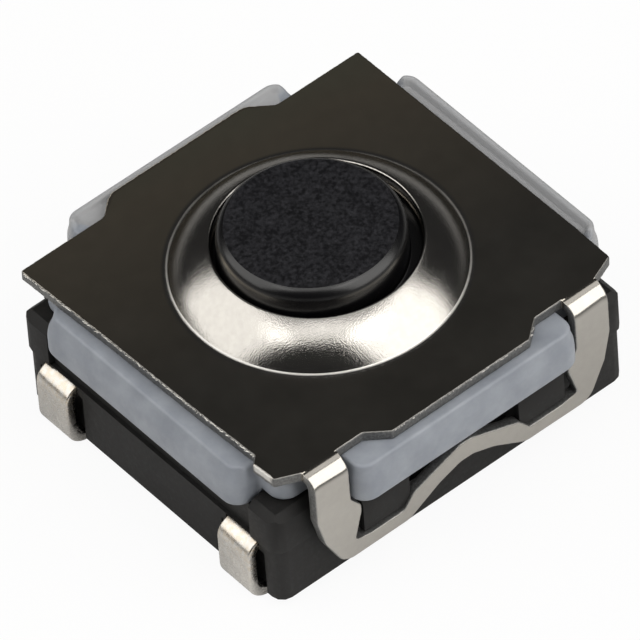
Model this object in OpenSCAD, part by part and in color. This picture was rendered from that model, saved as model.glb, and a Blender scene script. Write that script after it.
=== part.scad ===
// Sealed tactile push button switch for a circuit board.
// Frame: +Z up from the board, origin on the board under the middle of the part.
// The four leads come out on the two X sides, the cover clips on at the two Y sides.
// All lengths in millimetres.

/* [Cover plate] */
// Length of the plate along X
cover_x = 6.2; // [6.1:0.05:6.4]
// Width of the plate along Y, between its two bend lines
cover_y = 5.6; // [5.55:0.05:5.8]
// Thickness of the steel sheet
sheet = 0.16; // [0.12:0.01:0.18]
// Height of the plate's top face above the board
cover_top = 2.6; // [2.55:0.05:2.8]
// Radius of the plate's corners
cover_corner = 0.05; // [0.02:0.01:0.1]
// How far the two front corners are cut back along Y, outside the straps
corner_cut = 0.17; // [0.1:0.01:0.25]
// How far the lips stand out past the plate's edges
lip_out = 0.26; // [0.2:0.01:0.3]
// Length of a lip's outer edge
lip_len = 2.5; // [2.3:0.02:2.6]
// Length along X of the slanted edge at each end of a lip
lip_run = 0.33; // [0.25:0.01:0.4]
// Width of the relief slits beside the back straps
slit = 0.03; // [0.02:0.01:0.05]

/* [Collar] */
// Width of the collar, from the opening out to where it meets the plate
collar_w = 0.65; // [0.61:0.01:0.75]
// Height of the collar's crown above the plate
collar_h = 0.5; // [0.45:0.01:0.6]
// Radius of the fillet round the collar's foot
foot_r = 0.08; // [0.05:0.01:0.1]
// Width of the nearly level crown between the opening and the slope
crown_w = 0.09; // [0.06:0.01:0.12]

/* [Clip frames] */
// Distance from the middle to the inner edge of a strap
strap_x = 2.06; // [2.04:0.01:2.12]
// Width of a strap
strap_w = 0.62; // [0.55:0.01:0.65]
// Outer radius of the bend between the plate and the straps
bend_r = 0.27; // [0.25:0.01:0.32]
// Height of the cross bar's lower edge above the board
bar_z = 0.64; // [0.55:0.01:0.7]
// Height of the cross bar where it runs under a latch nose
bar_w = 0.25; // [0.22:0.01:0.28]
// Rise of the hump between the two noses
hump_h = 0.46; // [0.4:0.01:0.5]
// Height of the bar at the top of its hump
hump_w = 0.35; // [0.3:0.01:0.36]
// How far a nib reaches in from the strap towards the latch nose
nib = 0.17; // [0.1:0.01:0.19]
// Height of the nibs' lower corner above the board
nib_z = 1.44; // [1.42:0.01:1.5]
// Height of a nib's tip
nib_w = 0.14; // [0.1:0.01:0.2]

/* [Button] */
// Radius of the button
button_r = 1.35; // [1.3:0.01:1.36]
// Height of the button's top above the board
button_top = 3.5; // [3.4:0.05:3.6]
// Radius of the button's top edge
button_edge = 0.2; // [0.1:0.01:0.25]
// How far the flange reaches under the collar, past the opening
flange_over = 0.17; // [0.12:0.01:0.19]
// Thickness of that flange
flange_t = 0.36; // [0.3:0.01:0.4]
// Travel of the button
travel = 0.35; // [0.25:0.01:0.36]
// Play that the button sits to the left with, along X
play_x = -0.045; // [-0.05:0.005:0.05]
// Play that the button sits to the back with, along Y
play_y = 0.035; // [-0.05:0.005:0.05]

/* [Seal] */
// Distance from the middle to the seal's outer face on the X sides
seal_x = 3.46; // [3.4:0.01:3.5]
// Distance from the middle to the seal's outer face on the Y sides
seal_y = 3.31; // [3.25:0.01:3.35]
// Half the length of the bulges on the X sides
bulge_x_half = 2.13; // [2:0.01:2.16]
// Half the length of the bulges on the Y sides
bulge_y_half = 2.02; // [1.9:0.01:2.03]
// Radius of the bulges' upright corners
bulge_corner = 0.28; // [0.2:0.02:0.3]
// Radius of the bulges' long edges
bulge_edge = 0.13; // [0.08:0.01:0.16]
// How far the seal's corners stay inside the cover's
corner_in = 0.17; // [0.14:0.01:0.22]
// Thickness of the thin diaphragm
diaphragm = 0.16; // [0.12:0.01:0.2]
// Radius of the boss under the button
boss_r = 1; // [0.9:0.02:1.1]
// Radius of the nub over the dome
nub_r = 0.45; // [0.4:0.01:0.5]

/* [Base] */
// Length of the base along X
base_x = 6.34; // [6.3:0.01:6.36]
// Width of the base along Y
base_y = 5.48; // [5.46:0.01:5.52]
// Gap between the board and the base, in which the leads' feet lie
base_lift = 0.2; // [0.17:0.01:0.24]
// Height of the parting line above the board
parting_z = 1.2; // [1.2:0.01:1.24]
// How far the upper half of the mould stands out past the lower half
parting_step = 0.03; // [0.02:0.01:0.04]
// Height of the rim that the seal sits on
rim_z = 1.72; // [1.7:0.01:1.76]
// How much higher the four corner posts stand
post_h = 0.2; // [0.15:0.01:0.25]
// Radius of the base's upright corners
base_corner = 0.2; // [0.16:0.01:0.24]
// Chamfer round the top of the posts
post_chamfer = 0.12; // [0.08:0.01:0.14]
// Depth of the ledge over the leads
ledge = 0.1; // [0.06:0.01:0.12]
// Depth of the hollow between the two latch noses
hollow = 0.2; // [0.15:0.01:0.24]
// Gap between the middle and a latch nose
nose_x = 1; // [0.94:0.01:1.04]
// How far a nose reaches over the bar
nose_over = 0.12; // [0.1:0.01:0.14]

/* [Leads] */
// Distance between the outer faces of the leads
lead_span = 6.74; // [6.72:0.01:6.8]
// Distance between the leads of one side
lead_pitch = 3.96; // [3.94:0.01:4.04]
// Width of a lead
lead_w = 0.68; // [0.6:0.01:0.7]
// Thickness of the lead strip
lead_t = 0.15; // [0.12:0.01:0.15]
// Height of the strip's top face above the board
lead_top = 1.18; // [1.16:0.01:1.18]
// Outer radius of the upper bend
lead_r_up = 0.3; // [0.25:0.01:0.3]
// Outer radius of the lower bend
lead_r_low = 0.35; // [0.3:0.01:0.4]
// Length of the flat foot past the lower bend
foot_len = 0.17; // [0.1:0.01:0.2]
// Width of the tongue that carries the middle contact pad
tongue_w = 0.56; // [0.5:0.02:0.7]
// Radius of the middle contact pad
pad_r = 0.5; // [0.4:0.01:0.55]
// Radius of the two pads under the dome's feet
side_pad_r = 0.36; // [0.3:0.01:0.4]

/* [Dome] */
// Radius out to the dome's four feet
dome_r = 1.86; // [1.8:0.01:1.9]
// Thickness of the dome
dome_t = 0.07; // [0.05:0.01:0.08]
// Half the width across the dome's cut sides
dome_flat = 1.42; // [1.36:0.01:1.46]

/* [Clearances] */
// Gap between faces that rest on each other
seat = 0.01; // [0:0.005:0.02]
// Gap between the button and the edge of the opening
opening_gap = 0.14; // [0.1:0.01:0.18]
// Gap between the button's flange and the collar
flange_gap = 0.05; // [0.03:0.01:0.08]
// Gap between the flange and the ring of the seal that it moves down into
ring_gap = 0.2; // [0.14:0.01:0.24]
// Gap between the dome's cut sides and the walls of the base
dome_gap = 0.16; // [0.1:0.01:0.18]
// Gap round the leads in their pockets
lead_gap = 0.12; // [0.08:0.01:0.16]
// Gap between the bulges of the seal and the corner posts
post_gap = 0.06; // [0.03:0.01:0.08]
// Gap beside a latch nose
nose_gap = 0.05; // [0.04:0.01:0.08]

/* [Hidden] */
$fn = 44;
ARC_STEPS = 6;
CORNER_STEPS = 3;
BIG = 20;

// Radii that follow from the button, from the inside out
opening_r = button_r + opening_gap;
collar_r = opening_r + collar_w;
flange_r = opening_r + flange_over;
ring_r = flange_r + ring_gap;

// Heights that follow from the driving sizes
plate_under = cover_top - sheet;
seal_top = plate_under - seat;
seal_low = rim_z + seat;
post_z = rim_z + post_h;
strip_under = lead_top - lead_t;
crown_z = cover_top + collar_h;
flange_top = crown_z - sheet - flange_gap;
button_under = flange_top - flange_t;
boss_top = button_under - seat;
dome_foot = lead_top + seat;
// The dome's middle meets the pad when the button is fully down
dome_h = travel + dome_t - 3 * seat;
nub_low = dome_foot + dome_h + seat;
nose_low = bar_z + bar_w + nose_gap;

// Places that follow from the driving sizes: the front frame stands off the base, the back one lies on it
bend_y = cover_y / 2;
back_bend_y = base_y / 2 + parting_step + seat + sheet - bend_r;
post_x = bulge_y_half + post_gap;
post_y = bulge_x_half + post_gap;
nose_end = strap_x - nib - nose_gap;
lead_x = lead_span / 2;
lead_y = lead_pitch / 2;
foot_tip = lead_x - lead_r_low - foot_len;
rail_x = lead_x - lead_r_up;
dome_foot_at = dome_r * sin(45);
pad_y = dome_foot_at - 0.05;
cavity = dome_flat + dome_gap;
dome_sphere = (dome_r * dome_r + dome_h * dome_h) / (2 * dome_h);

// Unit vector along v
function unit(v) = v / norm(v);

// Points of the arc of radius r that rounds corner c between the corners p and n
function corner_arc(p, c, n, r) =
    let (u = unit(p - c), v = unit(n - c), half = acos(u * v) / 2)
    let (o = c + unit(u + v) * r / sin(half))
    let (s = c + u * r / tan(half) - o, e = c + v * r / tan(half) - o)
    let (a = atan2(s[1], s[0]), w = atan2(e[1], e[0]) - a)
    let (turn = w > 180 ? w - 360 : w < -180 ? w + 360 : w)
    [for (i = [0:CORNER_STEPS]) let (t = a + turn * i / CORNER_STEPS) o + r * [cos(t), sin(t)]];

// Closed outline through corners [x, y, radius]
function rounded(pts) =
    let (n = len(pts), xy = [for (p = pts) [p[0], p[1]]])
    [for (i = [0:n - 1]) each pts[i][2] > 0
        ? corner_arc(xy[(i + n - 1) % n], xy[i], xy[(i + 1) % n], pts[i][2])
        : [xy[i]]];

// Points of an elliptic arc round c from angle a to angle b
function arc(c, rx, ry, a, b) =
    [for (i = [0:ARC_STEPS]) let (t = a + (b - a) * i / ARC_STEPS) c + [rx * cos(t), ry * sin(t)]];

// Corners of a box of half sizes x and y, all with radius r
function box_corners(x, y, r) = [[-x, -y, r], [x, -y, r], [x, y, r], [-x, y, r]];

// The same list seen from the other side of the Y axis, in reverse order
function mirrored(pts) = [for (i = [len(pts) - 1:-1:0]) [-pts[i][0], pts[i][1], pts[i][2]]];

// Upright block with rounded corners from height z0 to z1
module slab(x, y, r, z0, z1) {
    translate([0, 0, z0]) linear_extrude(z1 - z0) polygon(rounded(box_corners(x, y, r)));
}

// Profile drawn in X and Z, drawn out along Y between y0 and y1
module along_y(y0, y1) {
    translate([0, y1, 0]) rotate([90, 0, 0]) linear_extrude(y1 - y0) children();
}

// Profile drawn in Y and Z, drawn out along X between x0 and x1
module along_x(x0, x1) {
    translate([x0, 0, 0]) rotate([90, 0, 90]) linear_extrude(x1 - x0) children();
}

// Children as they are and once more on the other side of the given plane
module both(v) {
    children();
    mirror(v) children();
}

// Block whose long edges are rounded by e and whose upright corners have radius r
module pillow(x, y, r, z0, z1, e) {
    mid = (z0 + z1) / 2;
    half = (z1 - z0) / 2;
    intersection() {
        slab(x, y, r, z0, z1);
        translate([0, 0, mid]) along_y(-y, y) polygon(rounded(box_corners(x, half, e)));
        translate([0, 0, mid]) along_x(-x, x) polygon(rounded(box_corners(y, half, e)));
    }
}

// Sheet outline of the plate with its two lips, seen from above
module plate_outline() {
    x = cover_x / 2;
    strap_out = strap_x + strap_w;
    lip_y = bend_y + lip_out;
    tip = lip_len / 2;
    root = tip + lip_run;
    round = cover_corner;
    difference() {
        polygon(rounded([
            [-x, corner_cut - bend_y, round], [-strap_out, -bend_y, round], [-root, -bend_y, round],
            [-tip, -lip_y, round], [tip, -lip_y, round], [root, -bend_y, round],
            [strap_out, -bend_y, round], [x, corner_cut - bend_y, round], [x, bend_y, round],
            [root, bend_y, round], [tip, lip_y, round], [-tip, lip_y, round],
            [-root, bend_y, round], [-x, bend_y, round]
        ]));
        // Notches for the back straps, whose bend starts further in
        both([1, 0, 0]) translate([strap_x - slit, back_bend_y]) square([strap_w + 2 * slit, BIG]);
    }
}

// Half section of the drawn collar, from its foot up to the opening
module collar_section() {
    wall_r = collar_r - foot_r;
    slope_z = cover_top + foot_r;
    slope_rx = wall_r - opening_r - crown_w;
    slope_rz = crown_z - slope_z;
    middle = [opening_r + crown_w, slope_z];
    round_in = sheet / 2;
    // Outer skin: fillet at the foot, slope, level crown and rolled edge at the opening
    outside = concat(
        [[collar_r + sheet, cover_top]],
        arc([collar_r, slope_z], foot_r, foot_r, 270, 180),
        arc(middle, slope_rx, slope_rz, 0, 90),
        arc([opening_r + round_in, crown_z - round_in], round_in, round_in, 90, 180)
    );
    // Inner skin, one sheet further in
    inside = concat(
        [[opening_r, crown_z - sheet]],
        arc(middle, slope_rx - sheet, slope_rz - sheet, 90, 0),
        [[wall_r - sheet, plate_under], [collar_r + sheet, plate_under]]
    );
    polygon(concat(outside, inside));
}

// One clip frame seen from the front: two tapered straps and the humped bar between them
module frame_outline() {
    top = cover_top - bend_r;
    upper_z = bar_z + bar_w;
    out_x = strap_x + strap_w;
    nib_x = strap_x - nib;
    fillet = 0.1;
    wide = 0.3;
    // Lower edge, from the middle out and up the outside of the strap
    outer = [
        [0.12, bar_z + hump_h, wide], [0.5, bar_z + 0.7 * hump_h, wide],
        [nose_x + 0.06, bar_z, wide], [out_x - 0.42, bar_z, wide],
        [out_x - 0.12, bar_z + 0.6, wide], [out_x, bar_z + 1.1, wide], [out_x, top, 0]
    ];
    // Upper edge, from the inside of the strap down round the nib and over the hump
    inner = [
        [strap_x, top, 0], [strap_x, nib_z + 0.36, fillet], [nib_x, nib_z + nib_w, fillet],
        [nib_x, nib_z, fillet], [strap_x - 0.03, upper_z + 0.06, fillet / 2],
        [nose_end - fillet, upper_z, fillet], [nose_x + 0.16, upper_z, fillet / 2],
        [nose_x - 0.03, upper_z + 0.23, fillet], [fillet, bar_z + hump_h + hump_w, fillet]
    ];
    half = concat(outer, inner);
    polygon(rounded(concat(half, mirrored(half))));
}

// Section of a strap's bend from a bend line at y, with a short straight tail
module bend_section(y) {
    middle = [y, cover_top - bend_r];
    outer_y = y + bend_r;
    tail = sheet / 4;
    polygon(concat(
        [[y - tail, cover_top]],
        arc(middle, bend_r, bend_r, 90, 0),
        [[outer_y, middle[1] - tail], [outer_y - sheet, middle[1] - tail]],
        arc(middle, bend_r - sheet, bend_r - sheet, 0, 90),
        [[y - tail, plate_under]]
    ));
}

// Clip frame on the +Y side, bent down from a bend line at y
module clip(y) {
    both([1, 0, 0]) along_x(strap_x, strap_x + strap_w) bend_section(y);
    along_y(y + bend_r - sheet, y + bend_r) frame_outline();
}

// Cover: one stamping with a drawn collar, two lips and two clip frames bent down
module cover() {
    color([0.42, 0.40, 0.37]) {
        difference() {
            translate([0, 0, plate_under]) linear_extrude(sheet) plate_outline();
            translate([0, 0, plate_under - 1]) cylinder(h = sheet + 2, r = collar_r);
        }
        rotate_extrude() collar_section();
        clip(back_bend_y);
        mirror([0, 1, 0]) clip(bend_y);
    }
}

// Button: hard plastic knob with a flange that the collar keeps in
module button() {
    dish = 0.08;
    edge = 0.05;
    color([0.13, 0.13, 0.14]) translate([play_x, play_y, 0]) rotate_extrude() polygon(concat(
        [[0, button_under], [boss_r, button_under], [boss_r + dish, button_under + dish]],
        [[boss_r + 2 * dish, button_under + dish], [boss_r + 3 * dish, button_under]],
        arc([flange_r - edge, button_under + edge], edge, edge, 270, 360),
        arc([flange_r - edge, flange_top - edge], edge, edge, 0, 90),
        [[button_r, flange_top]],
        arc([button_r - button_edge, button_top - button_edge], button_edge, button_edge, 0, 90),
        [[0, button_top]]
    ));
}

// Half section of the seal's middle: sloping diaphragm, boss and nub
module diaphragm_section() {
    edge = 0.08;
    root = ring_r + 0.05;
    boss_low = boss_top - 2 * diaphragm;
    skin_top = seal_low + diaphragm;
    polygon([
        [0, nub_low], [nub_r - edge, nub_low], [nub_r, nub_low + edge], [nub_r, boss_low],
        [boss_r, boss_low], [ring_r, seal_low], [root, seal_low], [root, skin_top],
        [ring_r, skin_top], [boss_r + edge, boss_low + diaphragm], [boss_r, boss_top], [0, boss_top]
    ]);
}

// Seal: silicone frame that bulges out on all four sides, with a diaphragm in its middle
module seal() {
    corner_x = cover_x / 2 - corner_in;
    corner_y = bend_y - corner_in;
    color([0.60, 0.63, 0.67]) {
        difference() {
            union() {
                pillow(seal_x, bulge_x_half, bulge_corner, seal_low, seal_top, bulge_edge);
                pillow(bulge_y_half, seal_y, bulge_corner, seal_low, seal_top, bulge_edge);
                slab(corner_x, corner_y, bulge_corner, post_z + seat, seal_top);
            }
            translate([0, 0, seal_low - 1]) cylinder(h = seal_top - seal_low + 2, r = ring_r);
        }
        rotate_extrude() diaphragm_section();
    }
}

// Snap dome: thin sprung steel cap on four feet, cut off at its four sides
module snap_dome() {
    centre_z = dome_foot + dome_h - dome_sphere;
    reach = asin(dome_r / dome_sphere);
    inner = dome_sphere - dome_t;
    top = [for (i = [0:ARC_STEPS]) let (t = reach * i / ARC_STEPS)
        [dome_sphere * sin(t), centre_z + dome_sphere * cos(t)]];
    under = [for (i = [ARC_STEPS:-1:0]) let (t = asin((dome_foot - centre_z) / inner))
        let (s = (90 - t) * i / ARC_STEPS) [inner * sin(s), centre_z + inner * cos(s)]];
    color([0.75, 0.74, 0.70]) intersection() {
        rotate_extrude() polygon(concat(top, under));
        translate([-dome_flat, -dome_flat, dome_foot - 1]) cube([2 * dome_flat, 2 * dome_flat, dome_h + 2]);
    }
}

// Side view of one J lead, from the inside of the base wall round to its foot
module lead_section() {
    up = [lead_x - lead_r_up, lead_top - lead_r_up];
    down = [lead_x - lead_r_low, lead_r_low];
    // Both skins of the strip, from the upper bend round the outside to the foot and back inside
    polygon(concat(
        arc(up, lead_r_up, lead_r_up, 90, 0),
        arc(down, lead_r_low, lead_r_low, 0, -90),
        [[foot_tip, 0], [foot_tip, lead_t]],
        arc(down, lead_r_low - lead_t, lead_r_low - lead_t, -90, 0),
        arc(up, lead_r_up - lead_t, lead_r_up - lead_t, 0, 90)
    ));
}

// Rail of one strip through the base, with a J lead at each end, on the +Y side
module lead_pair() {
    both([1, 0, 0]) along_y(lead_y - lead_w / 2, lead_y + lead_w / 2) lead_section();
    translate([-rail_x, lead_y - lead_w / 2, strip_under]) cube([2 * rail_x, lead_w, lead_t]);
}

// Tongue of the middle contact seen from above, grown by g
module tongue_outline(g) {
    half = tongue_w / 2 + g;
    translate([-half, -lead_y]) square([2 * half, lead_y]);
    circle(r = pad_r + g);
}

// Pads of the outer contact seen from above, grown by g
module side_pad_outline(g) {
    inner_y = lead_y - lead_w / 2;
    half = side_pad_r + g;
    both([1, 0, 0]) translate([dome_foot_at, pad_y]) {
        circle(r = half);
        translate([-half, 0]) square([2 * half, inner_y - pad_y + lead_t]);
    }
}

// Middle contact: strip with two J leads and a tongue to the pad under the dome
module contact_centre() {
    color([0.80, 0.76, 0.66]) {
        mirror([0, 1, 0]) lead_pair();
        translate([0, 0, strip_under]) linear_extrude(lead_t) tongue_outline(0);
    }
}

// Outer contact: strip with two J leads and the pads that two of the dome's feet stand on
module contact_outer() {
    color([0.80, 0.76, 0.66]) {
        lead_pair();
        translate([0, 0, strip_under]) linear_extrude(lead_t) side_pad_outline(0);
    }
}

// Room that both strips take up in the base
module strip_room() {
    rail_y = lead_w / 2 + seat;
    translate([0, 0, strip_under - seat]) linear_extrude(lead_t + 2 * seat) {
        tongue_outline(seat);
        side_pad_outline(seat);
        both([0, 1, 0]) translate([-BIG / 2, lead_y - rail_y]) square([BIG, 2 * rail_y]);
    }
}

// Lower half of the base, up to the parting line, with a pocket behind each lead
module base_lower() {
    pocket_y = lead_w / 2 + lead_gap;
    difference() {
        slab(base_x / 2, base_y / 2, base_corner, base_lift, parting_z);
        both([0, 1, 0]) both([1, 0, 0])
            translate([rail_x - seat, lead_y - pocket_y, base_lift - 1])
                cube([BIG, 2 * pocket_y, strip_under - seat - base_lift + 1]);
    }
}

// Upper half: rim under the seal, four chamfered corner posts and the ledges over the leads
module base_upper() {
    x = base_x / 2 + parting_step;
    y = base_y / 2 + parting_step;
    c = post_chamfer;
    low = parting_z - 0.1;
    difference() {
        intersection() {
            slab(x, y, base_corner, parting_z, post_z);
            along_y(-y, y) polygon([[-x, low], [x, low], [x, post_z - c], [x - c, post_z], [c - x, post_z],
                [-x, post_z - c]]);
            along_x(-x, x) polygon([[-y, low], [y, low], [y, post_z - c], [y - c, post_z], [c - y, post_z],
                [-y, post_z - c]]);
        }
        translate([-BIG / 2, -post_y, rim_z]) cube([BIG, 2 * post_y, BIG]);
        translate([-post_x, -BIG / 2, rim_z]) cube([2 * post_x, BIG, BIG]);
        both([1, 0, 0]) translate([x - ledge, -post_y, low]) cube([BIG, 2 * post_y, BIG]);
    }
}

// Latch nose on the +Y side for a frame bent down at y, with a sloping top that the bar slides over
module nose(y) {
    root = base_y / 2 - 0.1;
    tip = y + bend_r - sheet + nose_over;
    slope = 0.12;
    along_x(nose_x, nose_end) polygon([
        [root, nose_low], [tip, nose_low], [tip, rim_z - 2 * slope], [tip - slope, rim_z], [root, rim_z]
    ]);
}

// Base: black moulding that holds the contacts, the dome and the seal
module base() {
    color([0.20, 0.19, 0.18]) difference() {
        union() {
            base_lower();
            base_upper();
            both([1, 0, 0]) {
                nose(back_bend_y);
                mirror([0, 1, 0]) nose(bend_y);
            }
        }
        slab(cavity, cavity, base_corner, lead_top, BIG);
        strip_room();
        both([0, 1, 0]) translate([-nose_x, base_y / 2 - hollow, nose_low])
            cube([2 * nose_x, BIG, BIG]);
    }
}

base();
contact_centre();
contact_outer();
snap_dome();
seal();
button();
cover();
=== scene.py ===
"""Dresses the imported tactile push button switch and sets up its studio.

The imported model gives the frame. Sheet metal, leads, seal and button are worked out here as smooth
surfaces in millimetres and put into the frame in metres. The moulded base is a welded copy of its
solid with bevelled edges.
"""
import logging
import math
from dataclasses import dataclass
from enum import Enum
from typing import Iterable, Optional, Sequence

import bmesh
import bpy
import numpy as np
from mathutils import Matrix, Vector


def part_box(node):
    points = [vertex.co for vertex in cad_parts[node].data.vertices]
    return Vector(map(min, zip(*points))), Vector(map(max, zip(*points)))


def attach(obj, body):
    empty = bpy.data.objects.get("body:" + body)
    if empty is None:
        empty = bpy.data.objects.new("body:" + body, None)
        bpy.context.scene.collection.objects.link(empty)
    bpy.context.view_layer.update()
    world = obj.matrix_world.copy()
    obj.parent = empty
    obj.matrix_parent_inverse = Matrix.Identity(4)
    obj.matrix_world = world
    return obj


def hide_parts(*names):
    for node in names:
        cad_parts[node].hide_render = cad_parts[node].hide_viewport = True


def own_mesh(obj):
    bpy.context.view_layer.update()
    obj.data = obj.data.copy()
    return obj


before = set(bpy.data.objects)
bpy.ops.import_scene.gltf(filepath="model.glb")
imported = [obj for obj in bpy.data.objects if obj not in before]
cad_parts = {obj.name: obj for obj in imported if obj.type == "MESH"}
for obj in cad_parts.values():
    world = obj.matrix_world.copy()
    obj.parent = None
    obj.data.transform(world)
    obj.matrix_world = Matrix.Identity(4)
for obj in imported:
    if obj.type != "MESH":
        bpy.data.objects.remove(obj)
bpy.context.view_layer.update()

MM = 0.001
HOUSING = "housing"
BUTTON = "button"
Colour = tuple[float, float, float]
Socket = bpy.types.NodeSocket
log = logging.getLogger("switch")


class Side(Enum):
    """The two faces of the switch that a clip frame or a contact strip can be on."""

    FRONT = -1
    BACK = 1


def arc(cx: float, cy: float, r: float, start: float, end: float, steps: int) -> np.ndarray:
    """Points of a circular arc.

    Formula: the centre plus (r cos t, r sin t), with t going evenly from start to end.

    Args:
        cx, cy: Centre.
        r: Radius.
        start, end: Angles in degrees.
        steps: Number of spaces between the points.

    Returns:
        Array of steps + 1 points.
    """
    t = np.radians(np.linspace(start, end, steps + 1))
    return np.stack([cx + r * np.cos(t), cy + r * np.sin(t)], -1)


def unit(v: np.ndarray) -> np.ndarray:
    """Vectors along the last axis, scaled to length one."""
    return v / np.maximum(np.linalg.norm(v, axis=-1, keepdims=True), 1e-12)


def ramp(values: np.ndarray, start: float, width: float) -> np.ndarray:
    """Share that is 0 up to start, 1 from one width further on, and even in between."""
    return np.clip((values - start) / width, 0, 1)


def fillet(corners: Sequence[Sequence[float]], closed: bool = True, steps: int = 8) -> np.ndarray:
    """Rounds each corner of an outline with an arc.

    Formula: the arc's centre lies on the corner's bisector, at the radius over the sine of half the
    corner's angle, and the arc runs between the two points where the sides touch it.

    Args:
        corners: Rows of x, y and radius.
        closed: Whether the last corner joins the first. Where not, both ends stay as they are.
        steps: Spaces in each arc.

    Returns:
        Array of corners x (steps + 1) x 2, so that a corner's own arc can be found again.
    """
    c = np.asarray(corners, float)
    xy, r = c[:, :2], c[:, 2:3]
    u, v = unit(np.roll(xy, 1, 0) - xy), unit(np.roll(xy, -1, 0) - xy)
    half = np.arccos(np.clip((u * v).sum(1, keepdims=True), -0.999999, 0.999999)) / 2
    centre = xy + unit(u + v) * r / np.sin(half)
    a = xy + u * r / np.tan(half) - centre
    b = xy + v * r / np.tan(half) - centre
    start = np.arctan2(a[:, 1], a[:, 0])
    turn = np.arctan2(b[:, 1], b[:, 0]) - start
    turn = (turn + math.pi) % (2 * math.pi) - math.pi
    t = start[:, None] + turn[:, None] * np.linspace(0, 1, steps + 1)
    out = centre[:, None] + r[:, None] * np.stack([np.cos(t), np.sin(t)], -1)
    sharp = (r[:, 0] == 0) | (~np.array([closed]) & np.isin(np.arange(len(c)), (0, len(c) - 1)))
    out[sharp] = xy[sharp, None]
    return out


def along(line: np.ndarray, count: int, closed: bool = False) -> np.ndarray:
    """Evenly spaced points along a line.

    Args:
        line: Points of the line, in any number of dimensions.
        count: Number of points wanted.
        closed: Whether the line closes on itself. Then the first point isn't repeated at the end.

    Returns:
        Array of count points.
    """
    pts = np.vstack([line, line[:1]]) if closed else line
    run = np.r_[0, np.cumsum(np.linalg.norm(np.diff(pts, axis=0), axis=1))]
    at = np.linspace(0, run[-1], count, endpoint=not closed)
    return np.stack([np.interp(at, run, pts[:, k]) for k in range(pts.shape[1])], -1)


def even(loop: np.ndarray, pitch: float) -> np.ndarray:
    """Evenly spaced points of a closed outline, about one pitch apart."""
    length = np.linalg.norm(np.diff(loop, axis=0), axis=1).sum()
    return along(loop, int(length / pitch), closed=True)


def outward(loop: np.ndarray) -> np.ndarray:
    """Outward normals of a closed loop that runs anticlockwise: the tangent turned by a right angle."""
    t = unit(np.roll(loop, -1, 0) - np.roll(loop, 1, 0))
    return np.stack([t[:, 1], -t[:, 0]], -1)


def ripple(t: np.ndarray, waves: Sequence[float], seed: int) -> np.ndarray:
    """Rough line for torn and sheared edges, from about -1 to 1.

    Formula: the mean of sines with the given numbers of waves over t from 0 to 1, each with its own
    phase drawn from the seed.

    Args:
        t: Places along the edge, from 0 to 1.
        waves: Whole numbers of waves, so that the line closes.
        seed: Seed of the phases.

    Returns:
        Array of t's shape.
    """
    phase = np.random.default_rng(seed).uniform(0, 2 * math.pi, len(waves))
    w = np.asarray(waves, float)
    return np.sin(2 * math.pi * np.multiply.outer(t, w) + phase).mean(-1) * math.sqrt(2)


@dataclass
class Patch:
    """A grid of points in millimetres, with marks that the finishes read.

    Attributes:
        points: Rows x columns x 3.
        wrap_rows: Whether the last row joins the first.
        wrap_cols: Whether the last column joins the first.
        cut: Share of sheared edge at each point, or None, and on the collar's foot of a painted highlight.
        worked: Share of the finish's other kind of surface at each point, or None: drawn or bent metal,
        smooth plastic, or a painted glow where rubber is squeezed out thin.
        burr_and_highlight: Share of bright burrs at each point, or None, and on the collar's foot and the lug of a
            painted highlight.
    """

    points: np.ndarray
    wrap_rows: bool = False
    wrap_cols: bool = False
    cut: Optional[np.ndarray] = None
    worked: Optional[np.ndarray] = None
    burr_and_highlight: Optional[np.ndarray] = None

    def quads(self, first: int) -> np.ndarray:
        """Corner numbers of the grid's faces, where first is the number of the patch's first point."""
        rows, cols = self.points.shape[:2]
        number = first + np.arange(rows * cols).reshape(rows, cols)
        if self.wrap_rows:
            number = np.vstack([number, number[:1]])
        if self.wrap_cols:
            number = np.hstack([number, number[:, :1]])
        corners = [number[:-1, :-1], number[:-1, 1:], number[1:, 1:], number[1:, :-1]]
        return np.stack(corners, -1).reshape(-1, 4)

    def mark(self, values: Optional[np.ndarray]) -> np.ndarray:
        """Values spread over the grid and laid out in one line, or zeros where there are none."""
        return np.broadcast_to(0.0 if values is None else values, self.points.shape[:2]).ravel()


class Skin:
    """Closed skin that is laid on row by row round an outline, with the marks of each row."""

    def __init__(self, size: int) -> None:
        """Starts a skin whose rows have that many points each."""
        self.size = size
        self.rows: list[np.ndarray] = []
        self.marks: tuple[list[np.ndarray], ...] = ([], [], [])

    def add(self, xy: np.ndarray, z: object, cut: object = 0, worked: object = 0, burr_and_highlight: object = 0) -> None:
        """Adds one row of points at height z. The height and the marks are numbers or one for each point."""
        self.rows.append(np.concatenate([xy, np.broadcast_to(z, (self.size,))[:, None]], 1))
        for marks, share in zip(self.marks, (cut, worked, burr_and_highlight)):
            marks.append(np.broadcast_to(share, (self.size,)))

    def span(self, a: np.ndarray, b: np.ndarray, shares: Sequence[float], z: float) -> None:
        """Adds rows without marks at shares of the way from a to b, all at height z."""
        for share in shares:
            self.add(a + (b - a) * share, z)

    def patch(self) -> Patch:
        """The rows as one patch, closed both ways."""
        return Patch(np.array(self.rows), True, True, *(np.array(marks) for marks in self.marks))


def revolve(profile: np.ndarray, cols: int, centre: tuple[float, float] = (0, 0)) -> np.ndarray:
    """Surface of revolution.

    Formula: each profile point (r, z) becomes (r cos t, r sin t, z) round the centre, for t over a turn.

    Args:
        profile: Rows of radius and height.
        cols: Number of points round the turn.
        centre: Place of the axis in x and y.

    Returns:
        Array of rows x cols x 3.
    """
    t = np.linspace(0, 2 * math.pi, cols, endpoint=False)
    ring = np.stack([np.cos(t), np.sin(t)], -1)
    xy = profile[:, None, :1] * ring + np.asarray(centre)
    z = np.broadcast_to(profile[:, None, 1:], (len(profile), cols, 1))
    return np.concatenate([xy, z], -1)


def with_ends(grid: np.ndarray) -> np.ndarray:
    """Closes both ends of a tube with a row that gathers at the end's middle."""
    first, last = (np.broadcast_to(end.mean(1, keepdims=True), end.shape) for end in (grid[:1], grid[-1:]))
    return np.concatenate([first, grid, last])


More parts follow.
